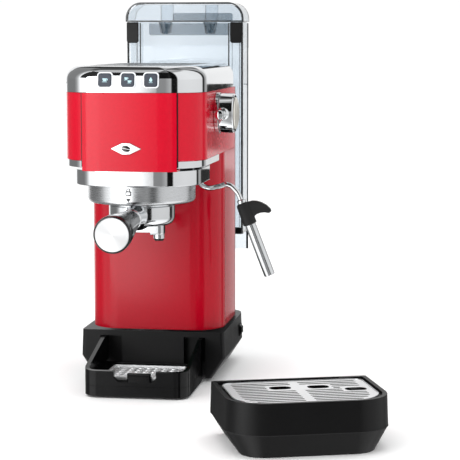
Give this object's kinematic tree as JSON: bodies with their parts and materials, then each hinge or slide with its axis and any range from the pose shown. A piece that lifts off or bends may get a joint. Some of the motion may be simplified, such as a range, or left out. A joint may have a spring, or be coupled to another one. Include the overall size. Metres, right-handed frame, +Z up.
{
  "type": "espresso machine",
  "caption": "Slim upright pump espresso machine with a chrome top, steam wand, locked portafilter, lifted-off rear water tank and a separate drip tray beside it.",
  "frame": {"origin": "centre of the bottom of the whole group's box, on the worktop", "axes": "+Z up, +Y towards the machine's back, +X to the machine's right"},
  "size_m": [0.3312, 0.5484, 0.391],
  "materials": {
    "red_painted_steel": "gloss",
    "chromed_steel": "polished",
    "chromed_casting": "polished",
    "brushed_stainless": "brushed",
    "spun_aluminium": "spun",
    "cast_aluminium": "cast",
    "brass": "turned",
    "black_moulding": "satin",
    "black_handle": "gloss",
    "black_rubber": "matte",
    "slate_keycap": "satin",
    "white_moulding": "gloss",
    "circuit_board": "matte",
    "silicone_hose": "matte",
    "smoked_clear_plastic": "clear"
  },
  "bodies": {
    "machine": {"base_shell": "black_moulding", "base_plate": "black_moulding", "foot_front_left": "black_rubber", "foot_front_right": "black_rubber", "foot_rear_left": "black_rubber", "foot_rear_right": "black_rubber", "cord_gland": "black_rubber", "switch_bezel": "black_moulding", "column_wrap": "red_painted_steel", "rear_frame": "black_moulding", "head_shell": "red_painted_steel", "head_front_panel": "red_painted_steel", "top_cover": "chromed_steel", "cup_plate": "spun_aluminium", "head_pan": "chromed_steel", "badge": "chromed_steel", "key_frame": "white_moulding", "key_board": "circuit_board", "group_collar": "brushed_stainless", "group_head": "cast_aluminium", "group_gasket": "black_rubber", "shower_screen": "brushed_stainless", "shower_screw": "brushed_stainless", "group_band": "chromed_steel", "thermoblock": "cast_aluminium", "pump_bush": "black_rubber", "pump": "cast_aluminium", "control_board": "circuit_board", "suction_hose": "silicone_hose", "pressure_pipe": "brushed_stainless", "steam_valve": "brass", "steam_pipe": "brushed_stainless", "wand_feed": "brushed_stainless", "knob_collar": "chromed_steel", "wand_socket": "chromed_steel", "tank_seat": "black_moulding"},
    "button_left": {"button_left": "slate_keycap"},
    "button_middle": {"button_middle": "slate_keycap"},
    "button_right": {"button_right": "slate_keycap"},
    "steam_knob": {"steam_knob": "chromed_steel", "knob_cap": "spun_aluminium"},
    "wand": {"wand_pipe": "chromed_steel", "wand_grip": "black_rubber", "wand_sleeve": "brushed_stainless"},
    "portafilter": {"portafilter_cup": "chromed_casting", "filter_basket": "brushed_stainless", "portafilter_handle": "black_handle", "handle_disc": "spun_aluminium", "spout_block": "chromed_casting"},
    "tank": {"tank_body": "smoked_clear_plastic", "tank_pad_left": "black_rubber", "tank_pad_right": "black_rubber"},
    "tank_lid": {"tank_lid": "smoked_clear_plastic"},
    "tank_valve": {"tank_valve": "black_rubber"},
    "lower_tray": {"lower_tray": "black_moulding", "lower_tray_foot": "black_moulding"},
    "lower_grid": {"lower_grid": "chromed_steel"},
    "drip_tray": {"drip_tub": "black_moulding"},
    "drip_deck": {"drip_deck": "brushed_stainless"},
    "power_rocker": {"power_rocker": "black_moulding"}
  },
  "joints": [
    {"name": "button_left_press", "type": "slide", "parent": "machine", "child": "button_left", "axis": [0, 0.9903, -0.1392], "range_m": [0, 0.0015], "stiffness_N_per_m": 800},
    {"name": "button_middle_press", "type": "slide", "parent": "machine", "child": "button_middle", "axis": [0, 0.9903, -0.1392], "range_m": [0, 0.0015], "stiffness_N_per_m": 800},
    {"name": "button_right_press", "type": "slide", "parent": "machine", "child": "button_right", "axis": [0, 0.9903, -0.1392], "range_m": [0, 0.0015], "stiffness_N_per_m": 800},
    {"name": "steam_knob_turn", "type": "hinge", "parent": "machine", "child": "steam_knob", "pos_m": [-0.02126, 0.0212, 0.277], "axis": [1, 0, 0], "range_deg": [0, 90]},
    {"name": "wand_swing", "type": "hinge", "parent": "machine", "child": "wand", "pos_m": [-0.04056, 0.0322, 0.228], "axis": [0, 0, 1], "range_deg": [-60, 25]},
    {"name": "portafilter_turn", "type": "hinge", "parent": "machine", "child": "portafilter", "pos_m": [-0.09056, -0.0138, 0.2], "axis": [0, 0, 1], "range_deg": [-50, 0]},
    {"name": "tank_lift", "type": "slide", "parent": "machine", "child": "tank", "axis": [0, 0.7458, 0.6662], "range_m": [-0.10057, 0.03]},
    {"name": "tank_lid_open", "type": "hinge", "parent": "tank", "child": "tank_lid", "pos_m": [-0.09056, 0.2742, 0.3693], "axis": [1, 0, 0], "range_deg": [-100, 0]},
    {"name": "tank_valve_lift", "type": "slide", "parent": "tank", "child": "tank_valve", "axis": [0, 0, 1], "range_m": [0, 0.003], "stiffness_N_per_m": 300},
    {"name": "lower_tray_pull", "type": "slide", "parent": "machine", "child": "lower_tray", "axis": [0, -1, 0], "range_m": [0, 0.12]},
    {"name": "lower_grid_lift", "type": "slide", "parent": "lower_tray", "child": "lower_grid", "axis": [0, 0, 1], "range_m": [0, 0.05]},
    {"name": "drip_tray_lift", "type": "slide", "parent": "machine", "child": "drip_tray", "axis": [0, 0, 1], "range_m": [0, 0.12]},
    {"name": "drip_deck_lift", "type": "slide", "parent": "drip_tray", "child": "drip_deck", "axis": [0, 0, 1], "range_m": [0, 0.06]},
    {"name": "power_rocker_press", "type": "hinge", "parent": "machine", "child": "power_rocker", "pos_m": [-0.01656, 0.1482, 0.036], "axis": [0, 0, 1], "range_deg": [-8, 8]}
  ]
}
